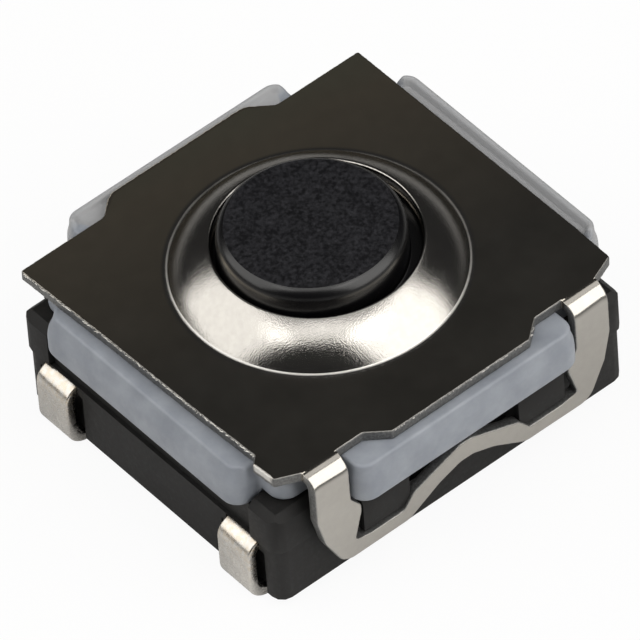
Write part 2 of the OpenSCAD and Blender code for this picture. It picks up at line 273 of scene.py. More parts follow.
def linked(name: str, data: bpy.types.ID) -> bpy.types.Object:
    """New object of the scene with that data."""
    obj = bpy.data.objects.new(name, data)
    bpy.context.scene.collection.objects.link(obj)
    return obj


def piece(name: str, patches: Iterable[Patch], finish: "Finish", body: str,
          replaces: Sequence[str] = ()) -> bpy.types.Object:
    """Makes one object of the scene out of patches and puts it on its body.

    Args:
        name: Name of the piece.
        patches: Its surfaces, in millimetres.
        finish: What it is made of.
        body: Body that it rides on.
        replaces: Solids that it stands for.

    Returns:
        The object, at the origin, with its place in its mesh.
    """
    patches = list(patches)
    starts = np.r_[0, np.cumsum([p.points.shape[0] * p.points.shape[1] for p in patches])]
    points = np.vstack([p.points.reshape(-1, 3) for p in patches]) * MM
    quads = np.vstack([p.quads(int(s)) for p, s in zip(patches, starts)])
    mesh = bpy.data.meshes.new(name)
    mesh.from_pydata(points.tolist(), [], quads.tolist())
    for label in ("cut", "worked", "burr_and_highlight"):
        values = np.concatenate([p.mark(getattr(p, label)) for p in patches])
        mesh.attributes.new(label, "FLOAT", "POINT").data.foreach_set("value", values.astype(np.float32))
    weld(mesh)
    return settle(linked(name, mesh), finish, body, replaces)


def weld(mesh: bpy.types.Mesh, gap: float = 2e-8, fold: float = 60) -> None:
    """Merges doubles within the gap, turns the faces outwards and shades all but folds of that angle."""
    bm = bmesh.new()
    bm.from_mesh(mesh)
    bmesh.ops.remove_doubles(bm, verts=bm.verts, dist=gap)
    bmesh.ops.dissolve_degenerate(bm, dist=gap / 2, edges=bm.edges)
    bmesh.ops.recalc_face_normals(bm, faces=bm.faces)
    bm.to_mesh(mesh)
    bm.free()
    mesh.polygons.foreach_set("use_smooth", np.ones(len(mesh.polygons), bool))
    mesh.set_sharp_from_angle(angle=math.radians(fold))
    mesh.update()


def settle(obj: bpy.types.Object, finish: "Finish", body: str,
           replaces: Sequence[str]) -> bpy.types.Object:
    """Gives an object its finish and puts it on its body, in place of the solids that it replaces."""
    obj.data.materials.clear()
    obj.data.materials.append(finish.material())
    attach(obj, body)
    if replaces:
        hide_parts(*replaces)
    return obj


def shade(colour: Sequence[float], times: object = 1.0) -> tuple[float, float, float, float]:
    """Colour with full cover, made lighter or darker by one factor or by one for each channel."""
    return (*np.multiply(colour, times), 1.0)


class Nodes:
    """Short way to lay out a material's nodes."""

    def __init__(self, name: str) -> None:
        """Starts an empty node tree with its output, in a new material of that name."""
        self.material = bpy.data.materials.new(name)
        self.material.use_nodes = True
        self.tree = self.material.node_tree
        self.tree.nodes.clear()
        self.out = self.tree.nodes.new("ShaderNodeOutputMaterial")

    def feed(self, socket: Socket, value: object) -> None:
        """Links a socket to the input, or sets the input to a number, vector or colour."""
        if isinstance(value, Socket):
            self.tree.links.new(value, socket)
        else:
            socket.default_value = value

    def add(self, kind: str, settings: Optional[dict] = None, **inputs: object) -> bpy.types.Node:
        """Adds a node.

        Args:
            kind: Type of the node, without its ShaderNode prefix.
            settings: Properties of the node.
            inputs: Values or sockets for its inputs, by name with _ for a space.

        Returns:
            The node.
        """
        node = self.tree.nodes.new("ShaderNode" + kind)
        for key, value in (settings or {}).items():
            setattr(node, key, value)
        for key, value in inputs.items():
            self.feed(node.inputs[key.replace("_", " ")], value)
        return node

    def numbered(self, node: bpy.types.Node, inputs: dict[int, object], output: int = 0) -> Socket:
        """Feeds a node whose inputs share one name, by number, and gives one of its outputs."""
        for place, value in inputs.items():
            self.feed(node.inputs[place], value)
        return node.outputs[output]

    def coords(self) -> Socket:
        """Object coordinates in millimetres."""
        place = self.add("TexCoord").outputs["Object"]
        return self.add("Mapping", Vector=place, Scale=(1 / MM,) * 3).outputs["Vector"]

    def noise(self, coords: Socket, per_mm: float, detail: float = 3, roughness: float = 0.55) -> Socket:
        """Noise with the given number of cells to a millimetre."""
        return self.add("TexNoise", Vector=coords, Scale=per_mm, Detail=detail,
                        Roughness=roughness).outputs["Fac"]

    def spread(self, value: Socket, low: float, high: float, to_low: float = 0, to_high: float = 1) -> Socket:
        """Maps low to high onto to_low to to_high and keeps the result in between."""
        return self.add("MapRange", Value=value, From_Min=low, From_Max=high, To_Min=to_low,
                        To_Max=to_high).outputs["Result"]

    def mix(self, share: object, a: object, b: object) -> Socket:
        """Colour between a and b, each a colour or a socket."""
        return self.numbered(self.add("Mix", {"data_type": "RGBA"}), {0: share, 6: a, 7: b}, 2)

    def blend(self, share: object, a: object, b: object) -> Socket:
        """Number between a and b, each a number or a socket."""
        return self.numbered(self.add("Mix", {"data_type": "FLOAT"}), {0: share, 2: a, 3: b})

    def choose(self, share: object, a: Socket, b: Socket) -> Socket:
        """Shader between a and b."""
        return self.numbered(self.add("MixShader"), {0: share, 1: a, 2: b})

    def math(self, operation: str, a: Socket, b: Socket) -> Socket:
        """Result of a sum on two sockets."""
        return self.numbered(self.add("Math", {"operation": operation}), {0: a, 1: b})

    def times(self, a: Socket, b: Socket) -> Socket:
        """Product of two sockets."""
        return self.math("MULTIPLY", a, b)

    def larger(self, a: Socket, b: Socket) -> Socket:
        """The larger of two sockets."""
        return self.math("MAXIMUM", a, b)

    def clouds(self, coords: Socket, per_mm: float, colour: Colour, low: float, high: float,
               detail: float = 4) -> Socket:
        """Colour that drifts in clouds between low and high times itself."""
        cloud = self.spread(self.noise(coords, per_mm, detail), 0.35, 0.65)
        return self.mix(cloud, shade(colour, low), shade(colour, high))

    def mark(self, name: str) -> Socket:
        """One of the marks that the mesh carries."""
        return self.add("Attribute", {"attribute_name": name}).outputs["Fac"]

    def bump(self, height: Socket, microns: float, **before: Socket) -> Socket:
        """Bump of that height in thousandths of a millimetre, on top of an earlier Normal if given."""
        return self.add("Bump", Height=height, Distance=microns * 1e-6, Strength=1.0, **before).outputs["Normal"]

    def finish(self, shader: Socket) -> bpy.types.Material:
        """Joins the shader to the output and gives the material."""
        self.tree.links.new(shader, self.out.inputs["Surface"])
        return self.material

    def principled(self, colour: Socket, rough: Socket, normal: Socket, **inputs: object) -> bpy.types.Material:
        """Ends the tree with a principled shader and gives the material."""
        shader = self.add("BsdfPrincipled", Base_Color=colour, Roughness=rough, Normal=normal, **inputs)
        return self.finish(shader.outputs["BSDF"])


@dataclass(frozen=True)
class Finish:
    """Base of all finishes. Each makes its material once."""

    name: str

    def material(self) -> bpy.types.Material:
        """The finish's material, made when it is first asked for."""
        return bpy.data.materials.get(self.name) or self.build()

    def build(self) -> bpy.types.Material:
        """Lays out the nodes."""
        raise NotImplementedError


@dataclass(frozen=True)
class SheetSteel(Finish):
    """Bright steel sheet: smooth where flat, grained where drawn or bent, and torn at its sheared edges.

    Attributes:
        flat: Colour of the flat plate.
        painted_reflection_gain: Factor by which the flat colour rises towards the back, a painted reflection.
        far_way, far_span: The direction of that rise, and where it starts and ends in millimetres.
        worked: Colour of drawn and bent places.
        torn_dark, torn_bright: The two colours of a sheared edge.
        spark: Colour of the bright burrs on it, and of the painted highlights on the collar's foot and the lug.
        flat_rough, worked_rough, torn_rough: Roughness of the three kinds of place.
        grain_um, torn_um: Heights of the drawn grain and of the torn edge in thousandths of a millimetre.
    """

    flat: Colour = (0.545, 0.51, 0.447)
    painted_reflection_gain: Colour = (2.0, 1.85, 1.6)
    far_way: tuple[float, float, float] = (0.15, 1, 0)
    far_span: tuple[float, float] = (-1, 3.2)
    worked: Colour = (0.45, 0.433, 0.405)
    torn_dark: Colour = (0.17, 0.17, 0.168)
    torn_bright: Colour = (0.25, 0.25, 0.245)
    spark: Colour = (0.74, 0.725, 0.69)
    flat_rough: float = 0.14
    worked_rough: float = 0.14
    torn_rough: float = 0.6
    grain_um: float = 2.5
    torn_um: float = 2

    def build(self) -> bpy.types.Material:
        """Mixes the flat tone, painted lighter towards the back, and the worked tone, then the torn tone with its
        burrs and painted highlights.
        """
        n = Nodes(self.name)
        at = n.coords()
        worked, cut, burr_and_highlight = n.mark("worked"), n.mark("cut"), n.mark("burr_and_highlight")
        lean = n.numbered(n.add("VectorMath", {"operation": "DOT_PRODUCT"}), {0: at, 1: self.far_way}, 1)
        # Painted reflection: the flat tone, with its own clouds, grows lighter towards the back.
        flat = n.mix(n.spread(lean, *self.far_span), n.clouds(at, 0.8, self.flat, 0.9, 1.1),
                     shade(self.flat, self.painted_reflection_gain))
        bent = n.clouds(at, 9, self.worked, 0.97, 1.03)
        torn = n.mix(n.spread(n.noise(at, 30), 0.38, 0.62), shade(self.torn_dark), shade(self.torn_bright))
        flecks = n.spread(n.noise(at, 26), 0.66, 0.76, 0, 0.5)
        # Burrs and flecks take the spark tone, and so do the painted highlights on the collar's foot and the lug.
        torn = n.mix(n.larger(flecks, burr_and_highlight), torn, shade(self.spark))
        colour = n.mix(cut, n.mix(worked, flat, bent), torn)
        scuff = n.spread(n.noise(at, 3.5, 5), 0.3, 0.7, 0.9, 1.15)
        smooth = n.blend(worked, self.flat_rough, self.worked_rough)
        rough = n.times(n.blend(cut, smooth, self.torn_rough), scuff)
        grain = n.times(n.noise(at, 48, 2, 0.5), n.spread(worked, 0.8, 1, 0.12, 1))
        drawn = n.bump(grain, self.grain_um)
        normal = n.bump(n.times(n.noise(at, 14, 5, 0.7), cut), self.torn_um, Normal=drawn)
        return n.principled(colour, rough, normal, Metallic=1.0)


@dataclass(frozen=True)
class PlatedStrip(Finish):
    """Silver-plated copper alloy: satin faces, and brown alloy showing at the sheared edges.

    Attributes:
        face: Colour of the plating.
        edge: Colour of the alloy at the edges.
        rough: Roughness of the plating.
        grain_um: Height of the plating's grain in thousandths of a millimetre.
    """

    face: Colour = (0.60, 0.58, 0.545)
    edge: Colour = (0.55, 0.42, 0.25)
    rough: float = 0.26
    grain_um: float = 1.0

    def build(self) -> bpy.types.Material:
        """Plating with a faint cloud and grain, broken through along the edges."""
        n = Nodes(self.name)
        at = n.coords()
        wear = n.times(n.mark("cut"), n.spread(n.noise(at, 14, 4), 0.4, 0.6, 0, 0.7))
        colour = n.mix(wear, n.clouds(at, 5, self.face, 0.93, 1.05), shade(self.edge))
        rough = n.spread(n.noise(at, 12, 4), 0.3, 0.7, self.rough * 0.85, self.rough * 1.25)
        return n.principled(colour, rough, n.bump(n.noise(at, 24, 4), self.grain_um), Metallic=1.0)


@dataclass(frozen=True)
class Moulding(Finish):
    """Black moulded plastic with a fine grain and pale specks, and smooth where marked as worked.

    Attributes:
        dark: Colour between the specks.
        speck: Colour of the specks.
        speck_share: Share of specks, from 0 to 1.
        rough: Roughness.
        grain_per_mm: Grains to a millimetre.
        grain_um: Height of the grain in thousandths of a millimetre.
        gloss: Strength of its reflections, where 0.5 is plain plastic.
    """

    dark: Colour = (0.0025, 0.0025, 0.0034)
    speck: Colour = (0.034, 0.034, 0.039)
    speck_share: float = 0.5
    rough: float = 0.34
    grain_per_mm: float = 19
    grain_um: float = 2.2
    gloss: float = 0.6

    def build(self) -> bpy.types.Material:
        """Specks where the noise is high, with the grain as bump, and little of both where smooth."""
        n = Nodes(self.name)
        at = n.coords()
        fine = n.noise(at, self.grain_per_mm, 4, 0.65)
        smooth = n.mark("worked")
        specks = n.spread(fine, 0.5 - 0.2 * self.speck_share, 0.92 - 0.2 * self.speck_share)
        speckled = n.mix(specks, n.clouds(at, 1.5, self.dark, 0.85, 1.2, 3), shade(self.speck))
        colour = n.mix(smooth, speckled, shade(self.dark, 0.6))
        grainy = n.spread(fine, 0.3, 0.7, self.rough * 0.9, self.rough * 1.15)
        normal = n.bump(n.times(fine, n.spread(smooth, 0, 1, 1, 0.15)), self.grain_um)
        return n.principled(colour, n.blend(smooth, grainy, self.rough * 0.8), normal,
                            Specular_IOR_Level=self.gloss)


@dataclass(frozen=True)
class Silicone(Finish):
    """Blue-grey silicone rubber, matt, a little cloudy under its skin.

    Attributes:
        light, dark: The two ends of its tone.
        thin: Paler tone where it is squeezed out thin, a painted glow of the light that comes through.
        rough: Roughness.
        grain_um: Height of its grain in thousandths of a millimetre.
        depth: Share of the light that goes in under the skin.
        reach: How far that light gets in millimetres.
    """

    light: Colour = (0.305, 0.327, 0.364)
    dark: Colour = (0.24, 0.26, 0.296)
    thin: Colour = (0.345, 0.35, 0.36)
    rough: float = 0.46
    grain_um: float = 1.6
    depth: float = 0.12
    reach: float = 0.12

    def build(self) -> bpy.types.Material:
        """Cloudy tone, a painted glow where marked, and a soft grain."""
        n = Nodes(self.name)
        at = n.coords()
        colour = n.mix(n.spread(n.noise(at, 2.2, 4), 0.35, 0.65), shade(self.dark), shade(self.light))
        # Painted glow: where marked, the rubber takes the paler thin tone of light coming through it.
        colour = n.mix(n.mark("worked"), colour, shade(self.thin))
        rough = n.spread(n.noise(at, 10), 0.3, 0.7, self.rough * 0.9, self.rough * 1.2)
        return n.principled(colour, rough, n.bump(n.noise(at, 16, 4), self.grain_um),
                            Subsurface_Weight=self.depth, Subsurface_Radius=(0.9, 1.0, 1.1),
                            Subsurface_Scale=self.reach * MM)


COVER_STEEL = SheetSteel("cover_steel")
DOME_STEEL = SheetSteel("dome_steel", flat=(0.66, 0.64, 0.60), worked=(0.66, 0.64, 0.60))
PLATED = PlatedStrip("plated_strip")
BUTTON_PLASTIC = Moulding("button_plastic")
BASE_PLASTIC = Moulding("base_plastic", dark=(0.008, 0.0076, 0.0073), speck=(0.019, 0.018, 0.017),
                        speck_share=0.15, rough=0.6, grain_per_mm=14, grain_um=1.6, gloss=0.3)
SEAL_RUBBER = Silicone("seal_silicone")


@dataclass
class Cover:
    """Steel cover: plate with a drawn collar and two lips, and two clip frames bent down from it.

    Sizes are in millimetres, and most are those of the solid. The plate's left edge, which was sheared
    off last, runs a little askew, with burrs along it and a lug at its front end. The collar is one wide
    arc a little off the middle, and the back lip stands further out.
    """

    sheet: float = 0.16
    plate_x: float = 6.2
    plate_y: float = 5.6
    corner: float = 0.04
    corner_cut: float = 0.17
    strap_corner: float = 0.012
    lip_out: float = 0.26
    lip_len: float = 2.5
    lip_run: float = 0.33
    lip_corner: float = 0.05
    back_lip_more: float = 0.05
    back_lip_corner: float = 0.35
    back_root_corner: float = 0.15
    right_lean: tuple[float, float, float] = (0.02, -1.9, 0.3)
    sheared: tuple[tuple[float, float, float], ...] = ((0.07, 0.9, 0.5), (0.11, -1.0, 0.5), (0.16, -2.1, 0.03))
    lug_x: float = -3.07
    lug_y: tuple[float, float] = (-2.6, -2.2)
    lug_top: float = -2.22
    frame_low: tuple[float, float] = (-2.84, -2.62)
    frame_high: tuple[float, float] = (2.96, 2.56)
    collar_h: float = 0.5
    opening_r: float = 1.49
    opening_round: float = 0.035
    collar_at: tuple[float, float] = (0.06, 0.07)
    dome_r: float = 1.47
    dome_axis_r: float = 0.915
    foot_round: float = 0.04
    strap_x: float = 2.06
    strap_w: float = 0.62
    bend_r: float = 0.27
    back_bend_y: float = 2.67
    back_drop: float = 0.025
    bar_z: float = 0.64
    bar_w: float = 0.25
    hump_h: float = 0.46
    hump_w: float = 0.35
    nib: float = 0.17
    nib_z: float = 1.44
    nib_w: float = 0.14
    nose_x: float = 1.0
    nose_gap: float = 0.05
    rollover: float = 0.022
    pitch: float = 0.022
    burr_count: int = 260

    def __post_init__(self) -> None:
        """Takes the height of the collar's crown from the frame and works out what follows from it."""
        self.crown_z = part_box("cover")[1].z / MM
        self.top = self.crown_z - self.collar_h
        self.under = self.top - self.sheet
        self.bend_y = self.plate_y / 2
        self.strap_out = self.strap_x + self.strap_w

    def build(self) -> list[bpy.types.Object]:
        """Makes the plate and the two clip frames.

        Returns:
            The three objects.
        """
        plate = piece("cover_plate", self.plate(), COVER_STEEL, HOUSING, ["cover"])
        clips = [piece("clip_frame_" + side.name.lower(), [self.clip(side)], COVER_STEEL, HOUSING)
                 for side in Side]
        return [plate, *clips]

    def blank(self) -> np.ndarray:
        """Outline of the plate and its lips from above, evenly spaced, anticlockwise from the front left."""
        x, y, lip_y = self.plate_x / 2, self.bend_y, self.bend_y + self.lip_out
        tip, r, q, lip = self.lip_len / 2, self.corner, self.strap_corner, self.lip_corner
        root, back_y = tip + self.lip_run, lip_y + self.back_lip_more
        front = [(self.lug_x + 0.03, self.corner_cut - y, r), (-self.strap_out, -y, q), (-root, -y, lip),
                 (-tip, -lip_y, lip), (tip, -lip_y, lip), (root, -y, lip), (self.strap_out, -y, q),
                 (x, self.corner_cut - y, r)]
        lean, lean_y, lean_r = self.right_lean
        rear = [(x + lean, lean_y, lean_r), (x, y, r), (root, y, self.back_root_corner),
                (tip, back_y, self.back_lip_corner), (-tip, back_y, self.back_lip_corner),
                (-root, y, self.back_root_corner), (-x, y, r)]
        sheared = [(-x + inset, at, rounding) for inset, at, rounding in self.sheared]
        lug = [(self.lug_x, self.lug_top, 0.05)]
        return even(fillet(front + rear + sheared + lug).reshape(-1, 2), self.pitch)

    def collar_skin(self) -> tuple[np.ndarray, np.ndarray]:
        """Outer and inner half section of the collar.

        Formula: a small rolled edge at the opening, a wide arc down to the foot, and a small hollow arc
        out into the plate, each tangent to the next. The inner skin is the wide arc, one sheet further in.

        Returns:
            Rows of radius and height, outer from the opening out, inner from the plate in.
        """
        lip, big, foot, s = self.opening_round, self.dome_r, self.foot_round, self.sheet
        cx = self.dome_axis_r
        t0 = math.degrees(math.asin((self.opening_r + lip - cx) / (big - lip)))
        cz = self.crown_z - lip - (big - lip) * math.cos(math.radians(t0))
        t1 = math.degrees(math.acos((self.top + foot - cz) / (big + foot)))
        foot_x = cx + (big + foot) * math.sin(math.radians(t1))
        outer = np.vstack([
            [[self.opening_r, self.crown_z - s * 0.8]],
            arc(self.opening_r + lip, self.crown_z - lip, lip, 180, 90 - t0, 7),
            arc(cx, cz, big, 90 - t0, 90 - t1, 30)[1:],
            arc(foot_x, self.top + foot, foot, 270 - t1, 270, 8)[1:],
            [[foot_x + 0.03, self.top]]])
        low = math.degrees(math.acos((self.under - cz) / (big - s)))
        inner = np.vstack([[[foot_x + s, self.under]], arc(cx, cz, big - s, 90 - low, 90 - t0, 14),
                           [[self.opening_r + 0.01, self.crown_z - s * 1.02]]])
        return outer, inner

    def plate(self) -> list[Patch]:
        """Plate and collar as one closed skin, with the burrs on its edge.

        Formula: each column starts on a ray from the middle, goes over the collar on circles, out to a
        frame just inside the outline, straight out to the outline, down the sheared edge, and back
        underneath. The edge isn't rolled where a strap goes on from the plate.

        Returns:
            The skin, closed both ways, and the burrs.
        """
        loop = self.blank()
        normal = outward(loop)
        size = len(loop)
        x, y = loop.T
        t = np.arange(size) / size
        strap = (np.abs(x) > self.strap_x - 0.01) & (np.abs(x) < self.strap_out + 0.01)
        held = strap & (np.abs(y + self.bend_y) < 0.02)
        lug = ramp(y, self.lug_y[0], 0.06) * ramp(-y, -self.lug_y[1], 0.06) * (x < -2.9)
        rolled = np.where(held, 0.0, 1 + 1.6 * ramp(y, 2.85, 0.15) + lug)
        side = ramp(-normal[:, 0], 0.8, 0.15) * (x < -2.8) * (y > -2.15)
        front = ramp(-normal[:, 1], 0.5, 0.3) * (y < -2.9)
        whisker = np.random.default_rng(7).random(size) ** 5 * (side + 0.4 * front)
        ragged = 0.004 * ripple(t, (97, 151, 233, 307, 411), 5) + 0.005 * side * ripple(t, (83, 141, 260, 333), 9)
        ragged = (ragged + 0.012 * whisker) * rolled
        torn = 0.003 * ripple(t, (61, 113, 179, 263, 389), 8) * rolled
        rim = loop - normal * (self.rollover * 1.4 * np.maximum(rolled, 0.4))[:, None]
        frame_at = np.clip(loop, self.frame_low, self.frame_high)
        centre = np.array(self.collar_at)
        ray = unit(frame_at - centre)
        outer, inner = self.collar_skin()
        skin = Skin(size)
        # The foot's arc carries a painted highlight, a thin pale ring: its rows carry part of the torn tone and its
        # sparks.
        ring = np.r_[np.zeros(len(outer) - 9), 0.3, np.full(6, 0.6), 0.3, 0]
        for (r, z), bright in zip(outer, ring):
            skin.add(centre + ray * r, z, bright, 1, bright > 0)
        skin.add(centre + ray * (outer[-1, 0] + 0.02), self.top, 0, 0.5)
        skin.span(centre + ray * (outer[-1, 0] + 0.05), frame_at, (0, 0.15, 0.4, 0.7, 1), self.top)
        skin.span(frame_at, rim, (0.5, 1), self.top)
        # Painted highlight on the lug: it is rolled further, and its rolled edge and the top of its sheared edge
        # take the spark tone.
        for deg in (0, 22, 45, 67, 90):
            a = math.radians(deg)
            step = self.rollover * (1 - math.sin(a)) * rolled - ragged * math.sin(a)
            drop = self.rollover * (1 - math.cos(a)) * rolled
            lift = 0.02 * whisker * math.sin(a)
            shown = min(1, deg / 45) * np.maximum(rolled == 1, lug)
            skin.add(loop - normal * step[:, None], self.top - drop + lift, shown, 0.4,
                     np.clip(0.5 * whisker + lug, 0, 1) * (deg > 40))
        edge_top, edge_low = self.top - self.rollover, self.under + 0.008
        for share in (0.25, 0.5, 0.75, 1):
            out = ragged * (1 - share) ** 2 + torn * share
            skin.add(loop + normal * out[:, None], edge_top + (edge_low - edge_top) * share, rolled > 0, 0,
                     lug * (share < 0.6))
        skin.add(loop - normal * 0.01, self.under, 0.5)
        skin.span(frame_at, loop - normal * 0.03, (1, 0), self.under)
        skin.span(centre + ray * inner[0, 0], frame_at, (0.5, 0), self.under)
        for r, z in inner[1:]:
            skin.add(centre + ray * r, z, 0, 1)
        return [skin.patch(), *self.burrs(loop, normal, side + 0.25 * front)]

    def burrs(self, loop: np.ndarray, normal: np.ndarray, share: np.ndarray) -> list[Patch]:
        """Hair-thin steel spikes along the sheared edges.

        Formula: each spike starts at a seeded place on the outline, leans out, up and along by seeded
        amounts, and is a small square section that narrows to a point.

        Args:
            loop, normal: Outline and its normals.
            share: How likely a spike is at each point.

        Returns:
            One closed patch for each spike.
        """
        rng = np.random.default_rng(23)
        count = self.burr_count
        at = rng.choice(len(loop), count, p=share / share.sum())
        tangent = np.stack([-normal[at, 1], normal[at, 0]], -1)
        lean = normal[at] + tangent * rng.normal(0, 0.9, (count, 1))
        way = unit(np.concatenate([lean, rng.uniform(0.7, 2.2, (count, 1))], 1))
        root = np.concatenate([loop[at], np.full((count, 1), self.top - 0.015)], 1)
        length = (0.035 + 0.065 * rng.random(count) ** 2)[:, None, None]
        u = unit(np.cross(way, (0, 0, 1)))
        v = np.cross(way, u)
        turn = np.arange(4) * math.pi / 2
        ring = u[:, None] * np.cos(turn)[:, None] + v[:, None] * np.sin(turn)[:, None]
        sections = ((0, -0.015, 0.010), (0, 0, 0.009), (0.6, 0, 0.007), (1, 0, 0))
        grids = np.stack([root[:, None] + way[:, None] * (length * up + sunk) + ring * radius
                          for up, sunk, radius in sections], 1)
        ones = np.ones((len(sections) + 2, 4))
        return [Patch(with_ends(grid), False, True, ones, None, ones) for grid in grids]

    def edges(self) -> tuple[np.ndarray, np.ndarray]:
        """Outer and inner edge of a clip frame, laid out flat, from the right strap's root to the left's.

        Formula: both edges are outlines with arcs at their corners. They are split at matching corners
        and each stretch gets the same number of even steps on both, so that opposite points face
        each other across the strap or bar.

        Returns:
            Two arrays of x and developed height.
        """
        root = self.top - self.bend_r + (self.bend_r - self.sheet / 2) * math.pi / 2
        out_x, in_x, nose, low_z, r, wide = self.strap_out, self.strap_x, self.nose_x, self.bar_z, 0.1, 0.3
        high_z, nib_x, hump_z = low_z + self.bar_w, in_x - self.nib, low_z + self.hump_h
        low = [(out_x, root, 0), (out_x, low_z + 1.1, wide), (out_x - 0.12, low_z + 0.6, wide),
               (out_x - 0.42, low_z, wide), (nose + 0.06, low_z, wide), (0.5, low_z + 0.7 * self.hump_h, wide),
               (0.12, hump_z, wide), (0, hump_z, 0)]
        high = [(in_x, root, 0), (in_x, self.nib_z + 0.36, r), (nib_x, self.nib_z + self.nib_w, r),
                (nib_x, self.nib_z, r), (in_x - 0.03, high_z + 0.06, r / 2), (nib_x - self.nose_gap - r, high_z, r),
                (nose + 0.16, high_z, r / 2), (nose - 0.03, high_z + 0.23, r), (r, hump_z + self.hump_w, r),
                (0, hump_z + self.hump_w, 0)]
        halves = []
        counts = (46, 26, 26, 20, 34, 8)
        for corners, splits in ((low, (0, 1, 2, 3, 4, 6, 7)), (high, (0, 2, 4, 5, 6, 8, 9))):
            line = fillet(corners, closed=False)
            steps = line.shape[1]
            middle = [k * steps + steps // 2 for k in splits]
            flat = line.reshape(-1, 2)
            parts = [along(flat[a:b + 1], c + 1)[:-1] for a, b, c in zip(middle[:-1], middle[1:], counts)]
            half = np.vstack([*parts, flat[-1:]])
            halves.append(np.vstack([half, half[-2::-1] * (-1, 1)]))
        return halves[0], halves[1]

    def bend(self, x: np.ndarray, run: np.ndarray, skin: np.ndarray, bend_y: float) -> np.ndarray:
        """Bends the flat clip frame down.

        Formula: below the bend the sheet hangs straight. Within it, the developed height becomes an
        angle round the bend's axis at the radius of that skin. The back frame is set a little lower
        there, so that it comes out from under the plate's edge.

        Args:
            x: Places along the frame.
            run: Developed heights.
            skin: Distance from the inner skin, from 0 to the sheet's thickness.
            bend_y: Distance from the middle to the bend line.

        Returns:
            Points in the frame, for the front.
        """
        axis_z = self.top - self.bend_r
        r = self.bend_r - self.sheet + skin
        turn = np.clip((run - axis_z) / (self.bend_r - self.sheet / 2), 0, math.pi / 2)
        drop = np.where(bend_y < self.bend_y, self.back_drop * turn, 0)
        return np.stack([x, -(bend_y + r * np.cos(turn)), np.minimum(run, axis_z) + r * np.sin(turn) - drop], -1)

    def clip(self, side: Side) -> Patch:
        """One clip frame: a rounded sheet section carried round the U of straps and bar.

        Formula: across the section, a share of the way from the inner to the outer edge and a skin
        height give a flat point. The corners are small arcs, and the walls between them are torn. Both
        fade out at the root, where the strap comes from the plate.

        Args:
            side: Which side of the switch it hangs on.

        Returns:
            The patch, with its ends closed.
        """
        outer, inner = self.edges()
        across = unit(outer - inner)
        size = len(outer)
        r, s, broad = self.rollover, self.sheet, 0.1
        rolled = [(r * (1 - math.sin(a)), s - r * (1 - math.cos(a))) for a in np.radians((0, 30, 60, 90))]
        steps = [(broad, s), (r + 0.01, s), *rolled, (0, s * 0.5), (0, 0.03), (0.01, 0), (broad, 0)]
        marks = [0, 0, 0.2, 0.6, 1, 1, 1, 1, 0.5, 0]
        root = outer[0, 1]
        bend_y, worked_from = self.bend_y, root
        if side is Side.BACK:
            bend_y, worked_from = self.back_bend_y, self.top - self.bend_r
        section, cut = [], []
        for edge, way, seed in ((outer, 1, 11), (inner, -1, 17)):
            rough = 0.004 * ripple(np.linspace(0, 1, size), (37, 71, 103, 149), seed)
            tight = np.clip((root - edge[:, 1]) / 0.12, 0, 1)
            for (inset, skin), share in list(zip(steps, marks))[::way]:
                torn = rough if share == 1 else 0
                near = tight if inset < broad else np.ones(size)
                flat = edge - across * way * ((inset - torn) * near)[:, None]
                depth = s - (s - skin) * tight if skin > s / 2 else np.full(size, skin)
                section.append(self.bend(flat[:, 0], flat[:, 1], depth, bend_y))
                cut.append(share * tight)
        grid = with_ends(np.array(section).transpose(1, 0, 2))
        worked = 0.8 * np.clip((worked_from - outer[:, 1]) / 0.1, 0, 1)
        if side is Side.BACK:
            grid = grid * (-1, -1, 1)
        shares, worked = (np.concatenate([v[:1], v, v[-1:]]) for v in (np.array(cut).T, worked[:, None]))
        return Patch(grid, False, True, shares, worked)


@dataclass
class PushButton:
    """Hard plastic button with a round top edge and a flange under the collar. Sizes in millimetres."""

    radius: float = 1.35
    flat_r: float = 1.23
    edge: float = 0.22
    flange_r: float = 1.66
    flange_t: float = 0.36
    play: tuple[float, float] = (-0.045, 0.035)
    boss_r: float = 1.0
    dish: float = 0.08
    flange_edge: float = 0.05
    shoulder: float = 0.03

    def build(self) -> bpy.types.Object:
        """Makes the button.

        Formula: the half section is revolved round the button's own axis. Its top ends in a fine crease.

        Returns:
            The object.
        """
        low, high = (corner.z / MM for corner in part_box("button"))
        flange_top, e, shoulder = low + self.flange_t, self.flange_edge, self.shoulder
        boss, dish = self.boss_r, self.dish
        rise = math.acos((self.flat_r - self.radius + self.edge) / self.edge)
        round_z = high - self.edge * math.sin(rise)
        top = [[0, high], [0.4, high], [0.8, high], [self.flat_r - 0.02, high],
               [self.flat_r - 0.006, high - 0.0005], [self.flat_r - 0.001, high - 0.001]]
        profile = np.vstack([
            top, arc(self.radius - self.edge, round_z, self.edge, math.degrees(rise), 0, 14),
            [[self.radius, high - 0.4], [self.radius, flange_top + 2 * shoulder]],
            arc(self.radius + shoulder, flange_top + shoulder, shoulder, 180, 270, 5),
            arc(self.flange_r - e, flange_top - e, e, 90, 0, 5), arc(self.flange_r - e, low + e, e, 0, -90, 5),
            [[boss + 3 * dish, low], [boss + 2 * dish, low + dish], [boss + dish, low + dish], [boss, low],
             [0, low]]])
        smooth = (np.arange(len(profile)) >= len(top))[:, None]
        return piece("push_button", [Patch(revolve(profile, 256, self.play), False, True, worked=smooth)],
                     BUTTON_PLASTIC, BUTTON, ["button"])


